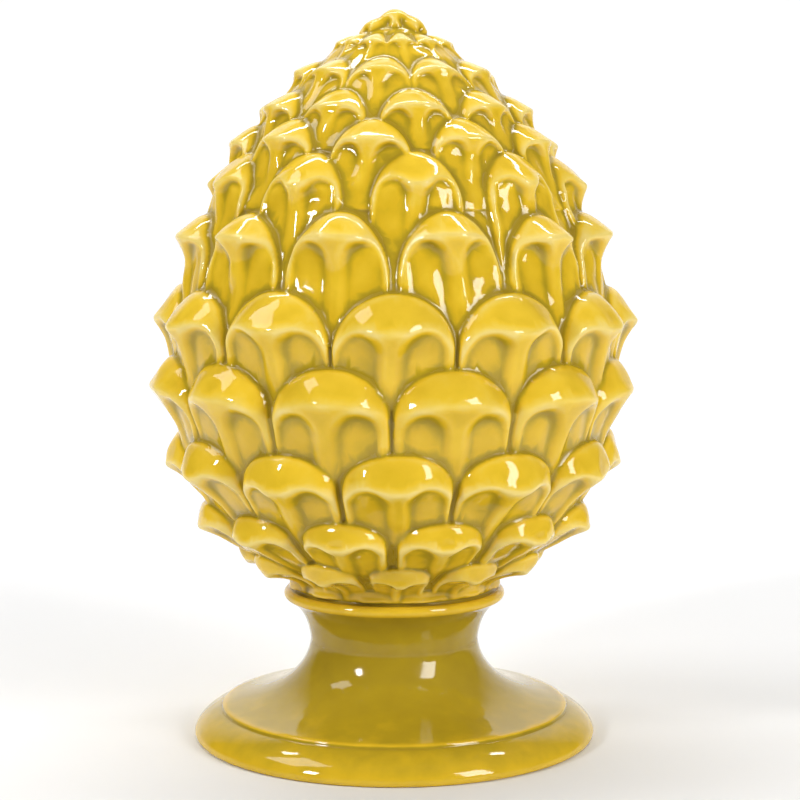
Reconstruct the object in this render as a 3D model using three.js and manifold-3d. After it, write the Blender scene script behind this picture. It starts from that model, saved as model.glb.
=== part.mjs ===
import * as THREE from "three";
import { mergeVertices } from "three/addons/utils/BufferGeometryUtils.js";
import Module from "manifold-3d";

// A glazed pinecone finial in millimetres, +Z up: one hollow casting of a cone on a turned stem and foot.
// The side that faces -Y is the front.

// Body of the cone: an egg that the scales stand on, widest at its waist
const EGG_RADIUS = 89;
const EGG_WAIST_Z = 152;
const EGG_UP = 145;
const EGG_DOWN = 117;
const EGG_POWER = 0.76;
const SEAT_Z = 58;

// Narrowing of the body under the lowest scales, down to the neck
const UNDERCUT = 8;
const UNDERCUT_Z = 87;
const UNDERCUT_RISE = 19;
const NECK_RADIUS = 42;
const NECK_BLEND = 2;
const NECK_INSET = 1;
const NECK_RISE = 10;
const COLLAR_Z = 65;

// Small dome that closes over the tip
const TIP_RISE = 3;
const TIP_RADIUS = 12;
const TIP_FALL = 6;

// Foot, from the ground up
const BASE_RADIUS = 82;
const RIM_RADIUS = 84;
const RIM_Z = 2.5;
const SHOULDER_IN = 1.4;
const SHOULDER_UP = 5.4;
const GROOVE_RADIUS = 72.8;
const GROOVE_Z = 12.2;
const GROOVE_DEPTH = 1;
const GROOVE_HALF = 0.6;
const SPREAD_OUT = 3;
const SPREAD_DROP = 21;
const STEM_RADIUS = 35;
const STEM_Z = 40;
const FLARE_OUT = 1.6;
const FLARE_UP = 14;
const LIP_RADIUS = 46.3;
const LIP_Z = 59.7;
const LIP_HEIGHT = 4.6;

// Hollow: the casting's wall, and the ring that it stands on
const CONE_WALL = 6;
const CROWN_WALL = 15;
const FOOT_WALL = 7;
const RING_WIDTH = 9;
const BELL_ROUND = 4;
const THROAT_RADIUS = 26.5;
const THROAT_LOW_Z = 31;
const THROAT_TOP_Z = 48;
const HOLLOW_LOW_Z = 60;

// Rows of scales from the bottom up. Place is the height of the row's crease tops as a share of the egg's rise
// over its seat. Turn is the angle of its first scale from the front, and half is the half width of a scale,
// both in degrees. Arch, beak and hollow say how far down a scale its outline reaches, its beak is and its
// hollows begin, as shares of its half width. Relief is how far its beak stands out, as a share of the egg's
// radius.
const ROWS = [
  { place: 0.094, count: 12, turn: 2.5, half: 12.2, arch: 0.66, beak: 0.92, hollow: 0.66, relief: 0.118 },
  { place: 0.18, count: 12, turn: 14.5, half: 13.6, arch: 0.68, beak: 0.7, hollow: 0.6, relief: 0.132 },
  { place: 0.295, count: 12, turn: 1, half: 14.3, arch: 0.72, beak: 0.68, hollow: 0.66, relief: 0.138 },
  { place: 0.429, count: 12, turn: 14.5, half: 14.5, arch: 0.82, beak: 0.54, hollow: 0.76, relief: 0.134 },
  { place: 0.548, count: 12, turn: 0, half: 14.7, arch: 0.94, beak: 0.6, hollow: 0.64, relief: 0.142 },
  { place: 0.674, count: 12, turn: 15, half: 13.8, arch: 1.32, beak: 0.42, hollow: 0.55, relief: 0.136 },
  { place: 0.77, count: 10, turn: 7, half: 13.8, arch: 1.1, beak: 0.7, hollow: 0.57, relief: 0.11 },
  { place: 0.822, count: 10, turn: -8, half: 14.4, arch: 0.96, beak: 0.46, hollow: 0.54, relief: 0.106 },
  { place: 0.872, count: 10, turn: 9.5, half: 15.6, arch: 0.9, beak: 0.4, hollow: 0.52, relief: 0.098 },
  { place: 0.925, count: 10, turn: -8.5, half: 17, arch: 0.8, beak: 0.3, hollow: 0.46, relief: 0.074 },
  { place: 0.971, count: 12, turn: 8, half: 14.4, arch: 0.9, beak: 0.42, hollow: 0.6, relief: 0.052 },
];
const FINE_ROWS = 5;

// Shape of one scale. Its lengths are shares of its own half width, and its heights shares of its relief.
const STEP = 0.28;
const STEP_RUN = 0.05;
const SIDE_DROP = 0.22;
const SIDE_REACH = 0.95;
const SIDE_POWER = 2.5;
const LEAST_ROOF = 0.1;
const BEAK_SIDE = 0.5;
const BROW_SHARE = 0.86;
const FRONT_RUN = 0.5;
const FRONT_SHARE = 0.5;
const RIM_RUN = 0.3;
const RIM_SHARE = 0.9;
const RIM_REST = 0.6;
const HOLLOW_RUN = 0.22;
const HOLLOW_SHARE = 0.42;
const GAP_RUN = 0.12;
const GAP_SHARE = 0.04;
const ROW_GAP = 0.3;

// Fall of a scale's height toward its sides
const SIDE_FALL = 0.26;
const SIDE_FALL_POWER = 1.5;
const EDGE_FALL = 0.34;
const EDGE_FALL_POWER = 5;

// How far a scale's direction of standing out tilts with the egg's surface, below and above its waist
const LEAN_SHARE = 0.25;
const LEAN_POWER = 8;

// Columns of points across one scale, from its left edge: gap, rims, hollows and the rib in the middle
const RIM = 0.84;
const POCKET = 0.48;
const RIB = 0.13;
const FINE_COLUMNS = [-1, -RIM, -POCKET, -RIB, 0, RIB, POCKET, RIM];
const COARSE_COLUMNS = [-1, -RIM, -POCKET, 0, POCKET, RIM];

// Small unevenness of hand-made scales, in shares of the half width, and the strides that scatter it
const UNEVEN_HEIGHT = 0.045;
const UNEVEN_RELIEF = 0.06;
const ROW_STRIDE = 12.9898;
const SCALE_STRIDE = 78.233;
const KIND_STRIDE = 37.719;
const SCATTER = 43758.5453;

// Smoothness of the facets
const TURN_SEGMENTS = 40;
const HOLLOW_SEGMENTS = 20;
const HOLLOW_STEPS = 11;
const TIP_RINGS = 2;
const ARC_SLICES = 1200;
const MERGE = 1e-4;

const wasm = await Module();
wasm.setup();

// A three.js geometry as a solid that can be joined and cut.
function solidOf(geometry) {
  const bare = geometry.clone();
  bare.deleteAttribute("normal");
  bare.deleteAttribute("uv");
  const merged = mergeVertices(bare, MERGE);
  return new wasm.Manifold(
    new wasm.Mesh({
      numProp: 3,
      vertProperties: new Float32Array(merged.attributes.position.array),
      triVerts: new Uint32Array(merged.index.array),
    }),
  );
}

// A joined solid back as a three.js geometry.
function geometryOf(solid) {
  const mesh = solid.getMesh();
  const positions = new Float32Array(mesh.numVert * 3);
  for (let i = 0; i < mesh.numVert; i++) {
    positions.set(mesh.vertProperties.subarray(i * mesh.numProp, i * mesh.numProp + 3), i * 3);
  }
  const geometry = new THREE.BufferGeometry();
  geometry.setAttribute("position", new THREE.BufferAttribute(positions, 3));
  geometry.setIndex(new THREE.BufferAttribute(new Uint32Array(mesh.triVerts), 1));
  geometry.computeVertexNormals();
  return geometry;
}

// A profile of radius and height turned about the Z axis.
function turned(profile, segments) {
  const geometry = new THREE.LatheGeometry(profile, segments);
  geometry.rotateX(Math.PI / 2);
  return solidOf(geometry);
}

const EGG_TOP = EGG_WAIST_Z + EGG_UP;
const FULL_TURN = 2 * Math.PI;

function smoothMax(a, b, width) {
  return Math.max(a, b) + Math.max(width - Math.abs(a - b), 0) ** 2 / (4 * width);
}

// Radius of the body at a height, and of the same body shrunk by a wall: an egg, drawn in to the neck below.
function bodyRadius(z, wall = 0) {
  const reach = z > EGG_WAIST_Z ? EGG_UP : EGG_DOWN;
  const share = Math.abs(z - EGG_WAIST_Z) / (reach - wall);
  const radius = (EGG_RADIUS - wall) * Math.max(1 - share * share, 0) ** EGG_POWER;
  if (z > EGG_WAIST_Z) return radius;
  const tuck = UNDERCUT * THREE.MathUtils.smoothstep(UNDERCUT_Z - z, 0, UNDERCUT_RISE);
  return smoothMax(radius - tuck, NECK_RADIUS - wall, NECK_BLEND);
}

// Meridian of the body from its seat up, by arc length: radius, height and outward tilt of each slice.
const meridian = [];
for (let i = 0; i <= ARC_SLICES; i++) {
  const rise = Math.sin(((i / ARC_SLICES) * Math.PI) / 2);
  const z = SEAT_Z + (EGG_TOP - SEAT_Z) * rise;
  const radius = bodyRadius(z);
  const last = meridian[i - 1];
  const run = last ? Math.hypot(z - last.z, radius - last.radius) : 0;
  const tilt = last ? Math.atan2(last.radius - radius, z - last.z) : 0;
  meridian.push({ z, radius, tilt, length: last ? last.length + run : 0 });
}

// Scales are laid out by their course: height above the waist, and arc length below it.
const waistLength = meridian.find((slice) => slice.z >= EGG_WAIST_Z).length;
for (const slice of meridian) {
  slice.course = slice.z > EGG_WAIST_Z ? slice.z : EGG_WAIST_Z + slice.length - waistLength;
}

// The first slice above a value of z or course, which both grow along the meridian.
function sliceAt(key, value) {
  const next = meridian.findIndex((slice) => slice[key] > value);
  return next < 0 ? meridian[ARC_SLICES] : meridian[Math.max(next, 1)];
}

function leanOf(tilt) {
  const quarter = Math.PI / 2;
  return tilt > 0 ? quarter * (tilt / quarter) ** LEAN_POWER : tilt * LEAN_SHARE;
}

// Point on the cone at an angle from the front and a course, lifted off the body.
function conePoint(angle, course, lift) {
  const slice = sliceAt("course", course);
  const lean = leanOf(slice.tilt);
  const radius = Math.max(slice.radius + lift * Math.cos(lean), 0);
  return pointAt(angle, radius, slice.z + lift * Math.sin(lean));
}

function pointAt(angle, radius, z) {
  return new THREE.Vector3(radius * Math.sin(angle), -radius * Math.cos(angle), z);
}

// Repeatable unevenness between -1 and 1.
function uneven(row, index, kind) {
  const wave = Math.sin(row * ROW_STRIDE + index * SCALE_STRIDE + kind * KIND_STRIDE) * SCATTER;
  return 2 * (wave - Math.floor(wave)) - 1;
}

// How far a scale's outline lies below its apex at a share across it.
function archDrop(across, arch) {
  return arch * (1 - Math.sqrt(Math.max(1 - across * across, 0)));
}

// Height of a scale at a share across it, as a share of its relief.
function crossShare(across) {
  const side = Math.abs(across);
  return 1 - SIDE_FALL * side ** SIDE_FALL_POWER - EDGE_FALL * side ** EDGE_FALL_POWER;
}

// A row of scales with the sizes in millimetres that follow from its place on the egg.
function rowOf(row, rowIndex) {
  const half = THREE.MathUtils.degToRad(row.half);
  const apex = sliceAt("z", SEAT_Z + (EGG_TOP - SEAT_Z) * row.place);
  const lower = sliceAt("course", apex.course - half * apex.radius);
  const width = half * lower.radius;
  return {
    rowIndex,
    half,
    width,
    count: row.count,
    pitch: FULL_TURN / row.count,
    turn: THREE.MathUtils.degToRad(row.turn),
    relief: row.relief * EGG_RADIUS,
    arch: row.arch * width,
    beak: row.beak * width,
    hollow: row.hollow * width,
    apex: apex.course,
    columns: rowIndex < FINE_ROWS ? FINE_COLUMNS : COARSE_COLUMNS,
  };
}

// Rings of points round the cone for one row, from the crease above it to the hollows under its brows.
// below gives the course of the next lower crease, which the row runs down to.
function rowRings(row, below) {
  const rings = [[], [], [], []];
  for (let index = 0; index < row.count; index++) {
    const lift = row.relief * (1 + UNEVEN_RELIEF * uneven(row.rowIndex, index, 2));
    const shift = row.width * UNEVEN_HEIGHT * uneven(row.rowIndex, index, 1);
    for (const across of row.columns) {
      const side = Math.abs(across);
      const middle = row.turn + index * row.pitch;
      const angle = side === 1 ? middle - row.pitch / 2 : middle + across * row.half;
      const apex = row.apex + shift * (1 - side);
      const stops = stopsOf(side, row, lift * crossShare(across));
      stops.forEach((stop, ring) => {
        const floor = below(angle) + (stops.length - ring) * ROW_GAP;
        const course = Math.max(apex - stop.drop, floor);
        const buried = course > apex - stop.drop;
        rings[ring].push({ angle, course, lift: buried ? 0 : stop.lift });
      });
    }
  }
  return rings;
}

// Stations down one column of a scale: the crease, the step up to the roof, the brow and under the brow.
function stopsOf(side, row, height) {
  const width = row.width;
  const outline = archDrop(side, row.arch);
  const crease = { drop: outline, lift: 0 };
  const step = { drop: outline + width * STEP_RUN, lift: height * STEP };
  if (side === 1) {
    const low = outline + width * GAP_RUN;
    return [crease, step, { drop: low, lift: height * GAP_SHARE }, { drop: low + width * GAP_RUN, lift: 0 }];
  }
  const roof = Math.max(row.arch - row.beak, LEAST_ROOF * width) + SIDE_DROP * width;
  const brow = row.beak + roof * (side / SIDE_REACH) ** SIDE_POWER;
  if (side === RIM) {
    const drop = Math.max(brow, outline + width * RIM_RUN);
    return [crease, step, { drop, lift: height * RIM_SHARE }, { drop: drop + width * RIM_RUN, lift: height * RIM_REST }];
  }
  if (side === POCKET) {
    const drop = Math.max(row.hollow, outline + width * HOLLOW_RUN);
    return [
      crease,
      step,
      { drop, lift: height * BROW_SHARE },
      { drop: drop + width * HOLLOW_RUN, lift: height * HOLLOW_SHARE },
    ];
  }
  const drop = Math.max(brow - side * BEAK_SIDE * width, outline + width * STEP_RUN * 2);
  return [crease, step, { drop, lift: height }, { drop: drop + width * FRONT_RUN, lift: height * FRONT_SHARE }];
}

// Course of a ring at an angle, straight between its points.
function ringCourse(ring) {
  return (angle) => {
    const start = ring[0].angle;
    const local = start + ((((angle - start) % FULL_TURN) + FULL_TURN) % FULL_TURN);
    const next = ring.findIndex((spot) => spot.angle > local);
    const high = next < 0 ? { ...ring[0], angle: start + FULL_TURN } : ring[next];
    const low = next < 0 ? ring[ring.length - 1] : ring[next - 1];
    const share = (local - low.angle) / (high.angle - low.angle);
    return low.course + (high.course - low.course) * share;
  };
}

// Faces between an upper and a lower ring, taking whichever ring's next point comes first.
function zip(upper, lower, faces) {
  const first = upper[0].angle;
  const distance = (spot) => Math.abs(Math.atan2(Math.sin(spot.angle - first), Math.cos(spot.angle - first)));
  let start = 0;
  lower.forEach((spot, i) => {
    if (distance(spot) < distance(lower[start])) start = i;
  });
  const shift = FULL_TURN * Math.round((first - lower[start].angle) / FULL_TURN);
  const reach = (ring, i) => ring[i % ring.length].angle + FULL_TURN * Math.floor(i / ring.length);
  let i = 0;
  let j = 0;
  while (i < upper.length || j < lower.length) {
    const here = upper[i % upper.length];
    const under = lower[(start + j) % lower.length];
    const nextUpper = i < upper.length ? reach(upper, i + 1) : Infinity;
    const nextLower = j < lower.length ? reach(lower, start + j + 1) + shift : Infinity;
    if (nextUpper <= nextLower) {
      i++;
      faces.push(here.point, under.point, upper[i % upper.length].point);
    } else {
      j++;
      faces.push(here.point, under.point, lower[(start + j) % lower.length].point);
    }
  }
}

// An even ring of points with no scales on it.
function plainRing(count, place) {
  return Array.from({ length: count }, (_, i) => {
    const angle = (i * FULL_TURN) / count;
    return { angle, ...place(angle) };
  });
}

// Rings of the small dome over the tip, from the top down.
function tipRings(count) {
  return Array.from({ length: TIP_RINGS }, (_, i) => {
    const share = (i + 1) / TIP_RINGS;
    const z = EGG_TOP + TIP_RISE - TIP_FALL * share * share;
    return plainRing(count, (angle) => ({ point: pointAt(angle, TIP_RADIUS * share, z) }));
  });
}

// The cone with all its rows of scales as one closed skin, from its tip down to its seat in the neck.
function makeCone() {
  const seat = plainRing(TURN_SEGMENTS, () => ({ course: meridian[0].course, lift: 0 }));
  const collar = plainRing(TURN_SEGMENTS, () => ({ course: sliceAt("z", COLLAR_Z).course, lift: 0 }));
  const bands = [[collar, seat]];
  ROWS.forEach((row, rowIndex) => {
    const below = ringCourse(bands[rowIndex][0]);
    bands.push(rowRings(rowOf(row, rowIndex), below));
  });
  const rings = [...tipRings(ROWS[ROWS.length - 1].count), ...bands.reverse().flat()];
  for (const spot of rings.flat()) spot.point ??= conePoint(spot.angle, spot.course, spot.lift);
  const faces = [];
  for (let i = 0; i + 1 < rings.length; i++) zip(rings[i], rings[i + 1], faces);
  const top = rings[0];
  const tip = new THREE.Vector3(0, 0, EGG_TOP + TIP_RISE);
  const root = new THREE.Vector3(0, 0, SEAT_Z);
  top.forEach((spot, i) => faces.push(tip, spot.point, top[(i + 1) % top.length].point));
  seat.forEach((spot, i) => faces.push(root, seat[(i + 1) % seat.length].point, spot.point));
  const geometry = new THREE.BufferGeometry().setFromPoints(faces);
  geometry.setIndex(faces.map((_, i) => i));
  return solidOf(geometry);
}

// Points of a curve from one profile point to another, pulled toward a third.
function sweep(from, pull, to, steps) {
  return new THREE.QuadraticBezierCurve(from, pull, to).getPoints(steps);
}

const at = (radius, z) => new THREE.Vector2(radius, z);

// The lip as a round roll, from its lower side up and over.
function lipRoll() {
  const half = LIP_HEIGHT / 2;
  const curve = new THREE.EllipseCurve(LIP_RADIUS - half, LIP_Z, half, half, -Math.PI / 4, Math.PI / 2);
  return curve.getPoints(4);
}

// Outer profile of the foot, stem and collar, closed up through the neck under the scales.
function footProfile() {
  const grooveLow = at(GROOVE_RADIUS + GROOVE_HALF, GROOVE_Z - GROOVE_HALF);
  const grooveTop = at(GROOVE_RADIUS - GROOVE_DEPTH, GROOVE_Z + GROOVE_HALF * 2);
  const stem = at(STEM_RADIUS, STEM_Z);
  const rim = at(RIM_RADIUS, RIM_Z);
  const roll = lipRoll();
  const join = NECK_RADIUS - NECK_INSET;
  return [
    at(0, 0),
    ...sweep(at(BASE_RADIUS, 0), at(RIM_RADIUS, 0), rim, 3),
    ...sweep(rim, at(RIM_RADIUS - SHOULDER_IN, RIM_Z + SHOULDER_UP), grooveLow, 4).slice(1),
    at(GROOVE_RADIUS - GROOVE_HALF, GROOVE_Z),
    ...sweep(grooveTop, at(STEM_RADIUS + SPREAD_OUT, STEM_Z - SPREAD_DROP), stem, 6),
    ...sweep(stem, at(STEM_RADIUS + FLARE_OUT, STEM_Z + FLARE_UP), roll[0], 4).slice(1),
    ...roll.slice(1),
    at(join, LIP_Z + LIP_HEIGHT / 2),
    at(join, LIP_Z + NECK_RISE),
    at(0, LIP_Z + NECK_RISE),
  ];
}

// Profile of the hollow: the bell under the foot, the throat through the stem, and the inside of the cone.
function hollowProfile() {
  const mouth = BASE_RADIUS - RING_WIDTH;
  const bellZ = GROOVE_Z - FOOT_WALL;
  const bell = at(STEM_RADIUS + SPREAD_OUT, STEM_Z - SPREAD_DROP - FOOT_WALL);
  const top = EGG_TOP - CROWN_WALL;
  const profile = [
    at(0, -FOOT_WALL),
    at(mouth, -FOOT_WALL),
    at(mouth, bellZ / 2),
    ...sweep(at(mouth - BELL_ROUND, bellZ), bell, at(THROAT_RADIUS, THROAT_LOW_Z), 5),
    at(THROAT_RADIUS, THROAT_TOP_Z),
  ];
  for (let i = 0; i < HOLLOW_STEPS; i++) {
    const share = Math.sin(((i / HOLLOW_STEPS) * Math.PI) / 2);
    const z = HOLLOW_LOW_Z + (top - HOLLOW_LOW_Z) * share;
    profile.push(at(bodyRadius(z, CONE_WALL), z));
  }
  profile.push(at(0, top));
  return profile;
}

const whole = makeCone().add(turned(footProfile(), TURN_SEGMENTS));
const hollow = turned(hollowProfile(), HOLLOW_SEGMENTS);

const glaze = new THREE.MeshStandardMaterial({ color: "#d9ae2e", roughness: 0.12, metalness: 0 });
glaze.name = "yellow_glaze";
const finial = new THREE.Mesh(geometryOf(whole.subtract(hollow)), glaze);
finial.name = "pinecone_finial";

const part = new THREE.Group();
part.name = "pinecone_finial_part";
part.add(finial);

export default part;
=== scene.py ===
"""A glazed ceramic pinecone finial: one casting with rows of ribbed scales on a turned stem and foot."""

import math

import bpy
import numpy as np
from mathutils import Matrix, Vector, kdtree


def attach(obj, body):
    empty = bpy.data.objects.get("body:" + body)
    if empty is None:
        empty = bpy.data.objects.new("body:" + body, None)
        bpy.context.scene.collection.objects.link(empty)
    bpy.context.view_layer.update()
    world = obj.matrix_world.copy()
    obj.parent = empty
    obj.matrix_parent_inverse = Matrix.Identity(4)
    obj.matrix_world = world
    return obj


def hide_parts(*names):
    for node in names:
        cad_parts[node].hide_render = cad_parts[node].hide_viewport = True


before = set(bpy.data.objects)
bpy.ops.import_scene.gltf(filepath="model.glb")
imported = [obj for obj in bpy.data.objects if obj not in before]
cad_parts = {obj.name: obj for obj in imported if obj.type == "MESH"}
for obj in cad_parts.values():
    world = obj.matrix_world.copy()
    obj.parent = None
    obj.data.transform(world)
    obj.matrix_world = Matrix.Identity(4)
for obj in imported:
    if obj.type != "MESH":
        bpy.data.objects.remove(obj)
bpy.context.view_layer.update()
scene = bpy.context.scene

# A millimetre in metres, and a number that keeps a divisor off zero
MM = 0.001
TINY = 1e-6

# Camera, in metres and degrees, as the photograph was taken
CAMERA_PLACE = (0.0024, -0.8124, 0.22275)
CAMERA_TILT = 5.79
CAMERA_LENS = 88.26
SENSOR = 36.0

# Egg that the scales stand on, in millimetres
EGG_RADIUS = 89.0
EGG_WAIST_Z = 152.0
EGG_UP = 145.0
EGG_DOWN = 117.0
EGG_POWER = 0.76
SEAT_Z = 58.0

# Lean of the scales: a share of the egg's tilt below the waist and a power of it above, and all of it in
# the last millimetres of the tip
LEAN_SHARE = 0.25
LEAN_POWER = 8.0
TIP_SPAN = 10.0

# Narrowing of the body under the lowest scales, down to the neck
UNDERCUT = 8.0
UNDERCUT_Z = 87.0
UNDERCUT_RISE = 19.0
NECK_RADIUS = 42.0
NECK_BLEND = 2.0
NECK_LAP = 0.6
COLLAR_Z = 63.5

# Foot, stem and collar
BASE_RADIUS = 82.0
RIM_RADIUS = 84.0
RIM_Z = 2.5
STEM_RADIUS = 35.0
STEM_Z = 40.0
LIP_RADIUS = 46.3
LIP_Z = 59.7
LIP_HEIGHT = 4.6
LIP_ARC = (100.0, -50.0)
LIP_IN = 0.9
LIP_DIP = 0.2
LIP_POINTS = 24
SPREAD_OUT = 3.0
SPREAD_DROP = 21.0
FLARE_OUT = 1.6
FLARE_UP = 14.0
SHOULDER_IN = 1.4
SHOULDER_UP = 5.4

# Groove round the foot, and points of its profile out from its radius and up from its height
GROOVE_RADIUS = 72.8
GROOVE_Z = 12.2
GROOVE_TOP = (-1.0, 1.2)
GROOVE_WALL = ((0.0, 1.0), (-0.4, 0.5))
GROOVE_FLOOR = ((-0.6, 0.1), (-0.5, -0.4))
GROOVE_LOW = (0.6, -0.5)

# Hollow inside the casting
CONE_WALL = 6.0
FOOT_WALL = 7.0
RING_WIDTH = 9.0
RING_EDGE = 0.6
MOUTH_Z = 0.4
THROAT_RADIUS = 26.5
THROAT_LOW_Z = 31.0
THROAT_TOP_Z = 48.0
HOLLOW_LOW_Z = 60.0
CROWN_WALL = 15.0
BELL_ROUND = 4.0
BELL_RISE = 1.0
HOLLOW_POINTS = 60

# Rows of scales from the bottom up: height of the apex as a share of the egg's rise over its seat, how many
# scales, angle of the first from the front and half width of one in degrees, then as shares of the half
# width how far down the outline's arch, the beak and the tops of the hollows are, and as a share of the
# egg's radius how far the beak stands out
ROWS = (
    (0.044, 12, 17.0, 15.0, 0.60, 0.40, 0.40, 0.030),
    (0.100, 12, 2.5, 12.9, 0.90, 1.12, 0.88, 0.108),
    (0.180, 12, 14.5, 13.6, 0.68, 0.70, 0.60, 0.132),
    (0.295, 12, 1.0, 14.7, 0.72, 0.68, 0.60, 0.138),
    (0.429, 12, 14.5, 14.9, 0.82, 0.54, 0.68, 0.134),
    (0.548, 12, 0.0, 15.0, 0.94, 0.60, 0.57, 0.142),
    (0.674, 12, 15.0, 14.1, 1.32, 0.42, 0.50, 0.136),
    (0.770, 10, 7.0, 13.8, 1.10, 0.70, 0.57, 0.110),
    (0.822, 10, -8.0, 14.4, 0.96, 0.46, 0.54, 0.106),
    (0.872, 10, 9.5, 15.6, 0.90, 0.40, 0.52, 0.098),
    (0.925, 10, -8.5, 18.6, 0.80, 0.30, 0.46, 0.074),
    (0.971, 12, 8.0, 17.6, 1.15, 0.42, 0.60, 0.052),
)

# How far below the egg's seat the two rows under the lowest one would have their apexes
UNSEEN_ROWS = (12.0, 4.0)

# Shape of one scale: lengths are shares of its half width, heights are shares of its relief
STEP = 0.24
ROOF_TOP = 1.02
ROOF_POWER = 0.72
ROOF_LEAST = 0.08
ROOF_MOST = 3.0
BROW_REACH = 0.95
BROW_MOST = 1.1
BROW_POWER = 2.5
BROW_LEAST = 0.1
SIDE_DROP = 0.26
BEAK_ROUND = 0.18
BEAK_DIMPLE = 0.04
DIMPLE_WIDTH = 0.16
DIMPLE_LENGTH = 0.14
DIMPLE_PLACE = 0.8
FRONT_TOP = 1.12
FRONT_START = -0.6
FRONT_FALL = 0.50
FRONT_REST = 0.20
THIN_SIDE = 0.26
THIN_SIDE_POWER = 1.5
THIN_EDGE = 0.34
THIN_EDGE_POWER = 5

# Hollows of one scale and the rib between them, in the same shares
HOLLOW_ARCH = 0.46
HOLLOW_CENTRE = 0.488
HOLLOW_HALF = 0.442
HOLLOW_LEAST = 0.09
HOLLOW_DEPTH = 0.30
HOLLOW_WALL = 0.15
HOLLOW_POWER = 0.8
RIB_WALL = 0.30
RIB_FADE = 1.3
RIB_SINK = 0.35
RIB_WIDTH = 0.2

# Edges of the scales and what lies between them, in millimetres, but for the slope outside an edge
EDGE_ROLL = 1.2
EDGE_SLOPE = 2.0
CREASE_DEPTH = 0.6
BLEND = 0.7
BODY_HEIGHT = -0.7
NOTHING_HERE = -9.0

# Unevenness of hand-made scales
SEED = 11
UNEVEN_HEIGHT = 0.045
UNEVEN_RELIEF = 0.07
UNEVEN_LEAN = 0.12
UNEVEN_TILT = 0.035
HAND_WAVES = 16
HAND_LENGTHS = (9.0, 24.0)
HAND_DEPTH = 0.36

# Small scales over the tip: turn in degrees, then distance out, half width and height in millimetres
TIP_SCALES = (
    (2.0, 3.2, 6.8, 4.6),
    (68.0, 8.4, 6.0, 4.2),
    (-72.0, 8.6, 6.2, 3.6),
    (150.0, 6.4, 7.0, 3.8),
    (-140.0, 6.8, 6.8, 3.4),
)

# Two dents in each of them: depth in millimetres, and places and size as shares of the half width
TIP_DENT = 2.4
TIP_DENT_SIDE = 0.42
TIP_DENT_FRONT = 0.62
TIP_DENT_SIZE = 0.26

# Fineness of the mesh
COLUMNS = 720
CONE_STEP = 0.62
FOOT_STEP = 0.8
HOLLOW_STEP = 3.0
POLE_GAP = 0.4
LEAST_RADIUS = 0.02
FINE_SHARE = 0.17
NEAREST = 4

# Softness of the glazed surface in millimetres, and of the blurs that tell its edges from its hollows
GLAZE_SOFTNESS = 0.45
FINE_BLUR = 1.0
WIDE_BLUR = 3.0
FOOT_FINE_BLUR = 1.4
FOOT_WIDE_BLUR = 4.0

# How many times its softness a blur reaches
BLUR_REACH = 3.0

# How much the glaze pools in a hollow a millimetre deep, with painted shade in the creases and hollows as
# well; how much painted shade lies on the stem under the cone's overhang, and what share of it on the
# foot's disc
FINE_POOL_AND_SHADE = 2.3
WIDE_POOL_AND_SHADE = 0.44
FOOT_FINE_POOL_AND_SHADE = 1.8
FOOT_WIDE_POOL_AND_SHADE = 0.3
STEM_SHADE = 1.0
DISC_SHADE_SHARE = 0.78

# Glaze: how much pooling and painted shade the tones span either way, and the tones from a pale raised edge
# to a pool darkened by painted shade
POOL_AND_SHADE_SPAN = 1.6
GLAZE_AND_SHADE_TONES = (
    (0.0, (0.87, 0.67, 0.19, 1.0)),
    (0.18, (0.85, 0.61, 0.09, 1.0)),
    (0.36, (0.81, 0.535, 0.032, 1.0)),
    (0.56, (0.69, 0.445, 0.018, 1.0)),
    (0.76, (0.45, 0.315, 0.016, 1.0)),
    (0.95, (0.38, 0.26, 0.016, 1.0)),
)
GLAZE_IOR = 1.5
GLAZE_SPECULAR = 0.42

# Depths of tone between which the glaze turns duller, and its roughness at either
GLOSS = (0.86, 1.0, 0.06, 0.30)

# Clouds in the glaze: scale and detail of the noise, its range, and the pooling that it stands for
CLOUD_SCALE = 95.0
CLOUD_DETAIL = 4.0
CLOUD = (0.3, 0.7, -0.2, 0.2)

# Slight waves of the surface, which are bump alone: their depth is in metres
WAVE_SCALE = 90.0
WAVE_DETAIL = 2.0
WAVE_STRENGTH = 0.25
WAVE_DEPTH = 0.0006

# Backdrop, in metres: a floor, a bend and a wall behind the object
FLOOR_HALF = 3.0
FLOOR_NEAR = -4.0
BEND_START = 1.6
BEND_RADIUS = 0.8
BEND_POINTS = 16
WALL_TOP = 3.0
PAPER_COLOUR = (0.79, 0.79, 0.79, 1.0)
PAPER_ROUGHNESS = 0.9

# Brightness of the room along each axis: two shares of the direction, and how bright it is at either
ROOM_ACROSS = (-0.7, 0.5, 0.55, 1.12)
ROOM_DEPTH = (-0.85, -0.20, 0.50, 0.95)
ROOM_HEIGHT = (-0.05, 0.75, 0.34, 3.15)

# Lamps: name, place, point aimed at, width and height in metres, and watts
LAMPS = (
    ("key", (1.13, -1.02, 0.82), (0.0, 0.0, 0.15), (0.48, 0.86), 17.0),
    ("spark", (-0.95, -0.8, 0.75), (0.0, 0.0, 0.15), (0.16, 0.24), 7.5),
    ("fill", (-1.2, -0.1, 1.7), (0.0, 0.0, 0.15), (0.8, 0.8), 10.0),
    ("wall_wash", (0.0, 1.0, 2.6), (0.0, 2.3, 0.5), (3.0, 0.4), 76.0),
)


def make_camera():
    data = bpy.data.cameras.new("camera")
    data.sensor_width = SENSOR
    data.lens = CAMERA_LENS
    camera = bpy.data.objects.new("camera", data)
    camera.location = CAMERA_PLACE
    camera.rotation_euler = (math.radians(90.0 - CAMERA_TILT), 0.0, 0.0)
    scene.collection.objects.link(camera)
    scene.camera = camera


def smooth_max(a, b, width):
    return np.maximum(a, b) + np.maximum(width - np.abs(a - b), 0.0) ** 2 / (4.0 * width)


def smooth_min(a, b, width):
    return -smooth_max(-a, -b, width)


def smooth_step(x):
    x = np.clip(x, 0.0, 1.0)
    return x * x * (3.0 - 2.0 * x)


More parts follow.
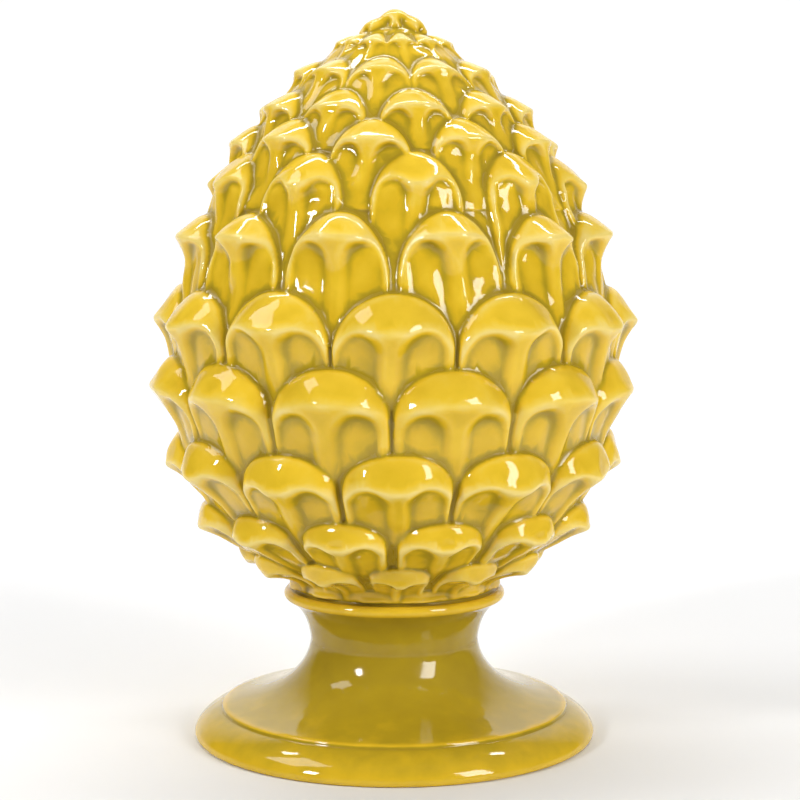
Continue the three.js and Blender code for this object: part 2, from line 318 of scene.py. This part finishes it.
def egg_radius(z, wall=0.0):
    """Radius of the egg at a height, or of the hollow inside it where a wall is given."""
    reach = np.where(z > EGG_WAIST_Z, EGG_UP, EGG_DOWN) - wall
    share = np.abs(z - EGG_WAIST_Z) / reach
    tuck = UNDERCUT * smooth_step((UNDERCUT_Z - z) / UNDERCUT_RISE)
    radius = (EGG_RADIUS - wall) * np.maximum(1.0 - share**2, 0.0) ** EGG_POWER - tuck
    return np.where(z > EGG_WAIST_Z, radius, smooth_max(radius, NECK_RADIUS - wall, NECK_BLEND))


class Meridian:
    """The egg's outline by arc length from its seat."""

    SLICES = 4000

    def __init__(self):
        rise = np.sin(np.linspace(0.0, math.pi / 2.0, self.SLICES + 1))
        self.z = SEAT_Z + (EGG_WAIST_Z + EGG_UP - SEAT_Z) * rise
        self.radius = egg_radius(self.z)
        steps = np.hypot(np.diff(self.z), np.diff(self.radius))
        self.length = np.concatenate([[0.0], np.cumsum(steps)])
        inward = -np.gradient(self.radius, self.length)
        self.tilt = np.arctan2(inward, np.gradient(self.z, self.length))
        self.total = self.length[-1]
        # Scales are laid out by height above the waist and by arc length below it.
        waist = np.interp(EGG_WAIST_Z, self.z, self.length)
        below = EGG_WAIST_Z + self.length - waist
        self.course = np.where(self.z > EGG_WAIST_Z, self.z, below)

    def course_at(self, length):
        return np.interp(length, self.length, self.course)

    def radius_at(self, length):
        return np.interp(length, self.length, self.radius)

    def z_at(self, length):
        return np.interp(length, self.length, self.z)

    def lean_at(self, length):
        """Tilt of the direction in which scales stand out: the upper ones lean up only a little."""
        tilt = np.interp(length, self.length, self.tilt)
        quarter = math.pi / 2.0
        upper = quarter * (np.abs(tilt) / quarter) ** LEAN_POWER
        crown = smooth_step((self.z_at(length) - EGG_WAIST_Z - EGG_UP + TIP_SPAN) / TIP_SPAN)
        upper = upper + (tilt - upper) * crown
        return np.where(tilt > 0.0, upper, tilt * LEAN_SHARE)


meridian = Meridian()


class Row:
    """Sizes of one row's scales in millimetres, worked out from its place on the egg."""

    def __init__(self, index):
        share, self.count, turn, half, arch, beak, hollow, relief = ROWS[index]
        self.turn = math.radians(turn)
        self.half = math.radians(half)
        apex_z = SEAT_Z + (EGG_WAIST_Z + EGG_UP - SEAT_Z) * share
        self.apex = float(np.interp(apex_z, meridian.z, meridian.course))
        narrow = self.half * self.radius_at(self.apex)
        self.width = self.half * self.radius_at(self.apex - narrow)
        self.arch = arch * self.width
        self.beak = beak * self.width
        self.hollow = hollow * self.width
        self.relief = relief * EGG_RADIUS
        chance = np.random.default_rng(SEED + index)
        self.rises = chance.uniform(-1.0, 1.0, self.count) * UNEVEN_HEIGHT * self.width
        self.reliefs = self.relief * (1.0 + chance.uniform(-1.0, 1.0, self.count) * UNEVEN_RELIEF)
        self.leans = chance.uniform(-1.0, 1.0, self.count) * UNEVEN_LEAN
        self.tilts = chance.uniform(-1.0, 1.0, self.count) * UNEVEN_TILT

    def radius_at(self, course):
        return float(np.interp(course, meridian.course, meridian.radius))

    def relief_over(self, angle, course, near, far):
        """Height over the egg. Near and far are the apexes of the next two rows down."""
        pitch = 2.0 * math.pi / self.count
        nearest = np.round((angle - self.turn) / pitch)
        across = (angle - self.turn - nearest * pitch) / self.half
        which = nearest.astype(int) % self.count
        drop = self.apex + self.rises[which] - course + self.tilts[which] * across * self.width
        ends = smooth_step((near - course) / (near - far))
        return self.scale_relief(across, drop, self.leans[which], self.reliefs[which], ends)

    def roof_at(self, across, drop):
        """Height of the roof, which climbs from the outline to the brow."""
        side = np.abs(across)
        outline = self.arch * (1.0 - np.sqrt(np.maximum(1.0 - np.minimum(side, 1.0) ** 2, 0.0)))
        spread = (np.minimum(side, BROW_MOST) / BROW_REACH) ** BROW_POWER
        fall = max(self.arch - self.beak, BROW_LEAST * self.width) + SIDE_DROP * self.width
        brow = self.beak + fall * spread
        climb = (drop - outline) / np.maximum(brow - outline, ROOF_LEAST * self.width)
        roof = STEP + (ROOF_TOP - STEP) * np.clip(climb, 0.0, ROOF_MOST) ** ROOF_POWER
        along = (drop - DIMPLE_PLACE * self.beak) / (DIMPLE_LENGTH * self.width)
        return roof - BEAK_DIMPLE * np.exp(-((across / DIMPLE_WIDTH) ** 2) - along**2)

    def hollow_at(self, shifted, drop):
        """How far inside the walls of the two hollows a place is, from 0 at their edges to 1."""
        high = HOLLOW_ARCH * self.width
        sideways = (shifted - HOLLOW_CENTRE) / HOLLOW_HALF
        upward = np.maximum(0.0, self.hollow + high - drop) / high
        toward_rib = smooth_step((HOLLOW_CENTRE - shifted) / HOLLOW_CENTRE)
        wall = HOLLOW_WALL + (RIB_WALL - HOLLOW_WALL) * toward_rib
        inside = (1.0 - np.sqrt(sideways**2 + upward**2)) * HOLLOW_HALF / wall
        return smooth_step(inside) ** HOLLOW_POWER

    def scale_relief(self, across, drop, lean, relief, ends):
        """Height of a scale at a share across it and a distance below its apex."""
        side = np.abs(across)
        # The front falls away below the brow.
        below = (drop - self.beak) / self.width
        rest = FRONT_REST * (1.0 - ends)
        front = rest + (FRONT_TOP - FRONT_REST) * np.exp(-np.maximum(below, FRONT_START) / FRONT_FALL)
        thin = 1.0 - THIN_SIDE * side**THIN_SIDE_POWER - THIN_EDGE * side**THIN_EDGE_POWER
        shell = relief * thin * smooth_min(self.roof_at(across, drop), front, BEAK_ROUND)
        # Two hollows with arched tops lie under the brow, with the rib between them.
        shifted = np.abs(across - lean * np.clip(below, 0.0, 1.0))
        dent = HOLLOW_LEAST * (1.0 - ends) + HOLLOW_DEPTH * np.minimum(front, 1.0)
        sink = RIB_SINK * np.exp(-((across / RIB_WIDTH) ** 2)) * smooth_step(below / RIB_FADE)
        height = shell * (1.0 - sink) - relief * thin * dent * self.hollow_at(shifted, drop)
        # The outline is rolled over into the crease.
        above = np.maximum(0.0, (self.arch - drop) / self.arch)
        edge = (1.0 - np.sqrt(across**2 + above**2)) * self.width
        roll = np.sqrt(1.0 - (1.0 - np.clip(edge / EDGE_ROLL, 0.0, 1.0)) ** 2)
        height = (height + CREASE_DEPTH) * roll - CREASE_DEPTH
        height = np.where(edge < 0.0, EDGE_SLOPE * edge - CREASE_DEPTH, height)
        return np.where(ends >= 1.0, NOTHING_HERE, height)


def tip_relief(angle, length):
    """Height of the small scales that close over the tip, which lean on each other."""
    radius = meridian.radius_at(length)
    x = radius * np.sin(angle)
    y = -radius * np.cos(angle)
    height = np.full(np.broadcast(angle, length).shape, NOTHING_HERE)
    for turn, out, half, tall in TIP_SCALES:
        turn = math.radians(turn)
        along = x * math.sin(turn) - y * math.cos(turn) - out
        wide = x * math.cos(turn) + y * math.sin(turn)
        away = np.hypot(along, wide) / half
        dome = tall * np.sqrt(np.maximum(1.0 - away**2, 0.0)) - CREASE_DEPTH
        sides = (np.abs(wide) / half - TIP_DENT_SIDE) / TIP_DENT_SIZE
        fronts = (along / half - TIP_DENT_FRONT) / TIP_DENT_SIZE
        dent = TIP_DENT * np.exp(-(sides**2) - fronts**2)
        outside = NOTHING_HERE * (away - 1.0) - CREASE_DEPTH
        dome = np.where(away < 1.0, dome - dent, outside)
        height = smooth_max(height, dome, BLEND)
    return height


def hand_work(angle, length):
    """Slight swelling and sinking of a hand-worked surface, in millimetres."""
    radius = meridian.radius_at(length)
    place = (radius * np.sin(angle), -radius * np.cos(angle), meridian.z_at(length))
    chance = np.random.default_rng(SEED)
    total = np.zeros(np.broadcast(angle, length).shape)
    for _ in range(HAND_WAVES):
        way = chance.normal(size=3)
        way *= 2.0 * math.pi / (np.linalg.norm(way) * chance.uniform(*HAND_LENGTHS))
        total += np.sin(sum(w * p for w, p in zip(way, place)) + chance.uniform(0.0, 2.0 * math.pi))
    return HAND_DEPTH * total / math.sqrt(HAND_WAVES)


def cone_relief(angle, length):
    """Height of everything that stands on the egg, in millimetres."""
    course = meridian.course_at(length)
    rows = [Row(index) for index in range(len(ROWS))]
    seat = float(meridian.course[0])
    apexes = [seat - drop for drop in UNSEEN_ROWS] + [row.apex for row in rows]
    height = np.full(np.broadcast(angle, length).shape, BODY_HEIGHT)
    for index, row in enumerate(rows):
        relief = row.relief_over(angle, course, apexes[index + 1], apexes[index])
        height = smooth_max(height, relief, BLEND)
    height = smooth_max(height, tip_relief(angle, length), BLEND)
    return height + hand_work(angle, length)


def soften_along(values, spacing, softness):
    """Rows of values, blurred from row to row."""
    reach = max(1, int(math.ceil(BLUR_REACH * softness / spacing)))
    offsets = np.arange(-reach, reach + 1)
    weights = np.exp(-0.5 * (offsets * spacing / softness) ** 2)
    weights = weights / weights.sum()
    padded = np.pad(values, ((reach, reach), (0, 0)), mode="edge")
    return sum(w * padded[i : i + len(values)] for i, w in enumerate(weights))


def soften(field, radii, spacing, softness):
    """A field on rings, blurred by the same distance round and along."""
    waves = np.arange(field.shape[1] // 2 + 1)
    rounds = np.maximum(radii, 1.0)[:, None]
    spectrum = np.fft.rfft(field, axis=1) * np.exp(-0.5 * (waves[None, :] * softness / rounds) ** 2)
    blurred = np.fft.irfft(spectrum, n=field.shape[1], axis=1)
    return soften_along(blurred, spacing, softness)


def bezier(start, pull, end, count):
    """Points of a curve from start to end, pulled toward a third point."""
    share = np.linspace(0.0, 1.0, count)[:, None]
    start, pull, end = (np.array(p, dtype=float) for p in (start, pull, end))
    return (1 - share) ** 2 * start + 2 * share * (1 - share) * pull + share**2 * end


def groove_point(offset):
    return (GROOVE_RADIUS + offset[0], GROOVE_Z + offset[1])


def foot_outline():
    """Radius and height down the outside, from the neck under the scales to the ground."""
    lip = LIP_HEIGHT / 2.0
    first, last = (math.radians(turn) for turn in LIP_ARC)
    round_lip = [
        (LIP_RADIUS - lip + lip * math.cos(a), LIP_Z + lip * math.sin(a))
        for a in np.linspace(first, last, LIP_POINTS)
    ]
    neck = (float(egg_radius(np.float64(COLLAR_Z))), COLLAR_Z - NECK_LAP)
    lip_start = (LIP_RADIUS - lip - LIP_IN, LIP_Z + lip - LIP_DIP)
    stem = (STEM_RADIUS, STEM_Z)
    flare = (STEM_RADIUS + FLARE_OUT, STEM_Z + FLARE_UP)
    spread = (STEM_RADIUS + SPREAD_OUT, STEM_Z - SPREAD_DROP)
    top = groove_point(GROOVE_TOP)
    low = groove_point(GROOVE_LOW)
    wall_pull, wall_end = (groove_point(offset) for offset in GROOVE_WALL)
    floor_start, floor_pull = (groove_point(offset) for offset in GROOVE_FLOOR)
    shoulder = (RIM_RADIUS - SHOULDER_IN, RIM_Z + SHOULDER_UP)
    rim = (RIM_RADIUS, RIM_Z)
    return np.vstack(
        [
            bezier(neck, (neck[0], LIP_Z + lip), lip_start, count=10),
            round_lip,
            bezier(round_lip[-1], flare, stem, count=24),
            bezier(stem, spread, top, count=40),
            bezier(top, wall_pull, wall_end, count=8),
            bezier(floor_start, floor_pull, low, count=8),
            bezier(low, shoulder, rim, count=30),
            bezier(rim, (RIM_RADIUS, 0.0), (BASE_RADIUS, 0.0), count=10),
        ]
    )


def hollow_outline():
    """Radius and height from the foot ring up through the bell and the throat to the top of the hollow."""
    mouth = BASE_RADIUS - RING_WIDTH
    bell_z = GROOVE_Z - FOOT_WALL
    bell_edge = (mouth - BELL_ROUND, bell_z + BELL_RISE)
    bell = (STEM_RADIUS + SPREAD_OUT, STEM_Z - SPREAD_DROP - FOOT_WALL)
    top = EGG_WAIST_Z + EGG_UP - CROWN_WALL
    rise = np.sin(np.linspace(0.0, math.pi / 2.0, HOLLOW_POINTS))
    z = HOLLOW_LOW_Z + (top - HOLLOW_LOW_Z) * rise
    return np.vstack(
        [
            [(mouth + RING_EDGE, 0.0)],
            bezier((mouth, MOUTH_Z), (mouth, bell_z), bell_edge, count=8),
            bezier(bell_edge, bell, (THROAT_RADIUS, THROAT_LOW_Z), count=20),
            [(THROAT_RADIUS, THROAT_TOP_Z)],
            np.column_stack([egg_radius(z, CONE_WALL), z]),
        ]
    )


def evenly(outline, spacing):
    """The outline with points an even distance apart."""
    steps = np.hypot(*np.diff(outline, axis=0).T)
    length = np.concatenate([[0.0], np.cumsum(steps)])
    wanted = np.linspace(0.0, length[-1], int(length[-1] / spacing) + 2)
    return np.column_stack([np.interp(wanted, length, outline[:, k]) for k in (0, 1)])


def hollowness(outline, spacing, softness):
    """How far a turned outline's points lie inside its own blurred course."""
    blurred = soften_along(outline, spacing, softness)
    along = np.gradient(outline, axis=0)
    along /= np.linalg.norm(along, axis=1, keepdims=True) + TINY
    outward = np.column_stack([-along[:, 1], along[:, 0]])
    return ((blurred - outline) * outward).sum(axis=1)


def foot_pooling_and_shade(foot):
    """How much glaze pooling lies in the foot's hollows, with painted shade on the stem under the cone's
    overhang and less of it on the disc.
    """
    # Painted shade: the stem is darkened fully, and the disc a little less, where the cone's overhang cuts
    # off light from above.
    up_stem = smooth_step((foot[:, 1] - GROOVE_Z) / (STEM_Z - GROOVE_Z))
    stem_shade = STEM_SHADE * (DISC_SHADE_SHARE + (1.0 - DISC_SHADE_SHARE) * up_stem)
    fine = hollowness(foot, FOOT_STEP, FOOT_FINE_BLUR) * FOOT_FINE_POOL_AND_SHADE
    wide = hollowness(foot, FOOT_STEP, FOOT_WIDE_BLUR) * FOOT_WIDE_POOL_AND_SHADE
    return stem_shade + fine + wide


def casting_rings():
    """Points of the whole skin ring by ring from the tip, with how much glaze pooling and painted shade
    there is at each.
    """
    angle = np.linspace(-math.pi, math.pi, COLUMNS, endpoint=False)
    count = int(meridian.total / CONE_STEP)
    lowest = float(np.interp(COLLAR_Z, meridian.z, meridian.length))
    length = np.linspace(meridian.total - POLE_GAP, lowest, count)
    height = cone_relief(angle[None, :], length[:, None])
    radii = meridian.radius_at(length)
    height = soften(height, radii, CONE_STEP, GLAZE_SOFTNESS)
    lean = meridian.lean_at(length)[:, None]
    radius = np.maximum(radii[:, None] + height * np.cos(lean), LEAST_RADIUS)
    z = meridian.z_at(length)[:, None] + height * np.sin(lean)
    # Darker where the surface lies below its blurred self, paler where it stands above: glaze pooling and
    # thinning, with painted shade in the creases and under the brows.
    fine = soften(height, radii, CONE_STEP, FINE_BLUR) - height
    wide = soften(height, radii, CONE_STEP, WIDE_BLUR) - height
    pooling_and_shade = fine * FINE_POOL_AND_SHADE + wide * WIDE_POOL_AND_SHADE

    # The foot and the hollow are turned, so each ring of theirs is one radius, height, and amount of glaze
    # pooling and painted shade.
    ones = np.ones((1, COLUMNS))
    foot = evenly(foot_outline(), FOOT_STEP)
    inner = evenly(hollow_outline(), HOLLOW_STEP)
    inner_pool = np.zeros(len(inner))
    radius = np.vstack([radius, foot[:, :1] * ones, inner[:, :1] * ones])
    z = np.vstack([z, foot[:, 1:] * ones, inner[:, 1:] * ones])
    pooling_and_shade = np.vstack([pooling_and_shade, foot_pooling_and_shade(foot)[:, None] * ones, inner_pool[:, None] * ones])
    points = np.stack([radius * np.sin(angle), -radius * np.cos(angle), z], axis=-1)
    return points, pooling_and_shade


def skin_mesh(name, points):
    """A closed mesh from rings of points, with a pole at either end."""
    rings, columns = points.shape[:2]
    vertices = points.reshape(-1, 3)
    first = points[0].mean(axis=0)
    first[:2] = 0.0
    last = points[-1].mean(axis=0)
    last[:2] = 0.0
    vertices = np.vstack([vertices, first, last]) * MM
    here = np.arange(columns)
    after = (here + 1) % columns
    rows = np.arange(rings - 1)[:, None] * columns
    quads = np.stack([rows + here, rows + columns + here, rows + columns + after, rows + after], axis=-1)
    quads = quads.reshape(-1, 4)
    top = np.full(columns, rings * columns)
    base = (rings - 1) * columns
    caps_top = np.stack([top, here, after], axis=-1)
    caps_low = np.stack([top + 1, base + after, base + here], axis=-1)
    faces = quads.tolist() + caps_top.tolist() + caps_low.tolist()
    mesh = bpy.data.meshes.new(name)
    mesh.from_pydata(vertices.tolist(), [], faces)
    mesh.update()
    return mesh


def vertex_places(mesh):
    places = np.empty(len(mesh.vertices) * 3)
    mesh.vertices.foreach_get("co", places)
    return places.reshape(-1, 3)


def vertex_normals(mesh):
    normals = np.empty(len(mesh.vertices) * 3)
    mesh.vertex_normals.foreach_get("vector", normals)
    return normals.reshape(-1, 3)


def tree_of(vertices):
    tree = kdtree.KDTree(len(vertices))
    for index, place in enumerate(vertices):
        tree.insert(place, index)
    tree.balance()
    return tree


def thinned(finial):
    """The object's mesh with only the triangles that its shape needs."""
    thin = finial.modifiers.new("thin", "DECIMATE")
    thin.ratio = FINE_SHARE
    shown = bpy.context.evaluated_depsgraph_get()
    mesh = bpy.data.meshes.new_from_object(finial.evaluated_get(shown))
    finial.modifiers.clear()
    return mesh


def carry_over(dense, dense_pooling_and_shade, mesh):
    """Give the thinned mesh the dense one's normals, and its glaze pooling with painted shade, from the
    nearest of its vertices.
    """
    dense_normals = vertex_normals(dense)
    tree = tree_of(vertex_places(dense))
    normals = np.zeros((len(mesh.vertices), 3))
    # Glaze tone at each vertex: pooling, with painted shade in the creases, the hollows and on the stem.
    glaze = np.zeros(len(mesh.vertices))
    for vertex in mesh.vertices:
        near = tree.find_n(vertex.co, NEAREST)
        weights = np.array([1.0 / (distance + TINY) for _, _, distance in near])
        weights /= weights.sum()
        picks = [index for _, index, _ in near]
        normals[vertex.index] = weights @ dense_normals[picks]
        glaze[vertex.index] = weights @ dense_pooling_and_shade[picks]
    normals /= np.linalg.norm(normals, axis=1, keepdims=True)
    mesh.shade_smooth()
    mesh.normals_split_custom_set_from_vertices(normals.tolist())
    attribute = mesh.attributes.new("pooling_and_shade", "FLOAT", "POINT")
    attribute.data.foreach_set("value", glaze.astype(np.float32))


def build_finial():
    points, pooling_and_shade = casting_rings()
    dense = skin_mesh("dense", points)
    dense_pooling_and_shade = np.concatenate([pooling_and_shade.reshape(-1), [pooling_and_shade[0].mean(), pooling_and_shade[-1].mean()]])
    finial = bpy.data.objects.new("pinecone_finial_skin", dense)
    scene.collection.objects.link(finial)
    mesh = thinned(finial)
    carry_over(dense, dense_pooling_and_shade, mesh)
    finial.data = mesh
    mesh.name = "pinecone_finial_skin"
    return finial


def add_range(tree, source, low, high, to_low, to_high):
    """A node that maps a value from one range to another."""
    node = tree.nodes.new("ShaderNodeMapRange")
    node.inputs["From Min"].default_value = low
    node.inputs["From Max"].default_value = high
    node.inputs["To Min"].default_value = to_low
    node.inputs["To Max"].default_value = to_high
    tree.links.new(source, node.inputs["Value"])
    return node


def add_noise(tree, place, scale, detail):
    node = tree.nodes.new("ShaderNodeTexNoise")
    node.inputs["Scale"].default_value = scale
    node.inputs["Detail"].default_value = detail
    tree.links.new(place, node.inputs["Vector"])
    return node.outputs["Fac"]


def add_math(tree, operation, first, second):
    node = tree.nodes.new("ShaderNodeMath")
    node.operation = operation
    tree.links.new(first, node.inputs[0])
    tree.links.new(second, node.inputs[1])
    return node.outputs["Value"]


def add_tones(tree, depth, tones):
    """A colour that runs through the tones as glaze pooling and painted shade go from 0 to 1."""
    ramp = tree.nodes.new("ShaderNodeValToRGB")
    elements = ramp.color_ramp.elements
    elements.remove(elements[1])
    elements[0].position, elements[0].color = tones[0]
    for position, color in tones[1:]:
        elements.new(position).color = color
    tree.links.new(depth, ramp.inputs["Fac"])
    return ramp.outputs["Color"]


def glaze_material():
    material = bpy.data.materials.new("yellow_glaze")
    material.use_nodes = True
    tree = material.node_tree
    shader = tree.nodes["Principled BSDF"]
    shader.inputs["IOR"].default_value = GLAZE_IOR
    shader.inputs["Specular IOR Level"].default_value = GLAZE_SPECULAR
    pooling_and_shade = tree.nodes.new("ShaderNodeAttribute")
    pooling_and_shade.attribute_name = "pooling_and_shade"
    place = tree.nodes.new("ShaderNodeTexCoord").outputs["Object"]
    # The glaze is cloudy and deeper in tone where it pools, and the tones also carry painted shade in the
    # creases and hollows and on the stem.
    cloud = add_range(tree, add_noise(tree, place, CLOUD_SCALE, CLOUD_DETAIL), *CLOUD)
    total = add_math(tree, "ADD", pooling_and_shade.outputs["Fac"], cloud.outputs["Result"])
    depth = add_range(tree, total, -POOL_AND_SHADE_SPAN, POOL_AND_SHADE_SPAN, 0.0, 1.0).outputs["Result"]
    tree.links.new(add_tones(tree, depth, GLAZE_AND_SHADE_TONES), shader.inputs["Base Color"])
    # It is a little duller in the creases, where dust gathers.
    gloss = add_range(tree, depth, *GLOSS)
    tree.links.new(gloss.outputs["Result"], shader.inputs["Roughness"])
    bump = tree.nodes.new("ShaderNodeBump")
    bump.inputs["Strength"].default_value = WAVE_STRENGTH
    bump.inputs["Distance"].default_value = WAVE_DEPTH
    tree.links.new(add_noise(tree, place, WAVE_SCALE, WAVE_DETAIL), bump.inputs["Height"])
    tree.links.new(bump.outputs["Normal"], shader.inputs["Normal"])
    return material


def make_backdrop():
    """A pale floor that curves up behind the object."""
    outline = [(FLOOR_NEAR, 0.0), (BEND_START, 0.0)]
    for turn in np.linspace(0.0, math.pi / 2.0, BEND_POINTS)[1:]:
        back = BEND_START + BEND_RADIUS * math.sin(turn)
        outline.append((back, BEND_RADIUS - BEND_RADIUS * math.cos(turn)))
    outline.append((BEND_START + BEND_RADIUS, WALL_TOP))
    vertices = []
    for y, z in outline:
        vertices += [(-FLOOR_HALF, y, z), (FLOOR_HALF, y, z)]
    faces = [(2 * i, 2 * i + 1, 2 * i + 3, 2 * i + 2) for i in range(len(outline) - 1)]
    mesh = bpy.data.meshes.new("backdrop")
    mesh.from_pydata(vertices, [], faces)
    mesh.shade_smooth()
    paper = bpy.data.materials.new("white_paper")
    paper.use_nodes = True
    shader = paper.node_tree.nodes["Principled BSDF"]
    shader.inputs["Base Color"].default_value = PAPER_COLOUR
    shader.inputs["Roughness"].default_value = PAPER_ROUGHNESS
    mesh.materials.append(paper)
    floor = bpy.data.objects.new("backdrop", mesh)
    scene.collection.objects.link(floor)


def add_lamp(name, place, aim, size, watts):
    data = bpy.data.lights.new(name, "AREA")
    data.shape = "RECTANGLE"
    data.size, data.size_y = size
    data.energy = watts
    lamp = bpy.data.objects.new(name, data)
    lamp.location = place
    toward = Vector(aim) - Vector(place)
    lamp.rotation_euler = toward.to_track_quat("-Z", "Y").to_euler()
    scene.collection.objects.link(lamp)


def light_studio():
    world = bpy.data.worlds.new("studio")
    scene.world = world
    world.use_nodes = True
    tree = world.node_tree
    # The room is bright overhead, and darker in front, low down and to the left.
    place = tree.nodes.new("ShaderNodeTexCoord")
    axes = tree.nodes.new("ShaderNodeSeparateXYZ")
    tree.links.new(place.outputs["Generated"], axes.inputs["Vector"])
    deep = add_range(tree, axes.outputs["Y"], *ROOM_DEPTH)
    deep.interpolation_type = "SMOOTHSTEP"
    across = add_range(tree, axes.outputs["X"], *ROOM_ACROSS)
    high = add_range(tree, axes.outputs["Z"], *ROOM_HEIGHT)
    level = add_math(tree, "MULTIPLY", deep.outputs["Result"], across.outputs["Result"])
    bright = add_math(tree, "MULTIPLY", level, high.outputs["Result"])
    tree.links.new(bright, tree.nodes["Background"].inputs["Strength"])
    for lamp in LAMPS:
        add_lamp(*lamp)


make_camera()
scene.view_settings.view_transform = "Standard"
finial = build_finial()
finial.data.materials.clear()
finial.data.materials.append(glaze_material())
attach(finial, "root")
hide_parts("pinecone_finial")
make_backdrop()
light_studio()
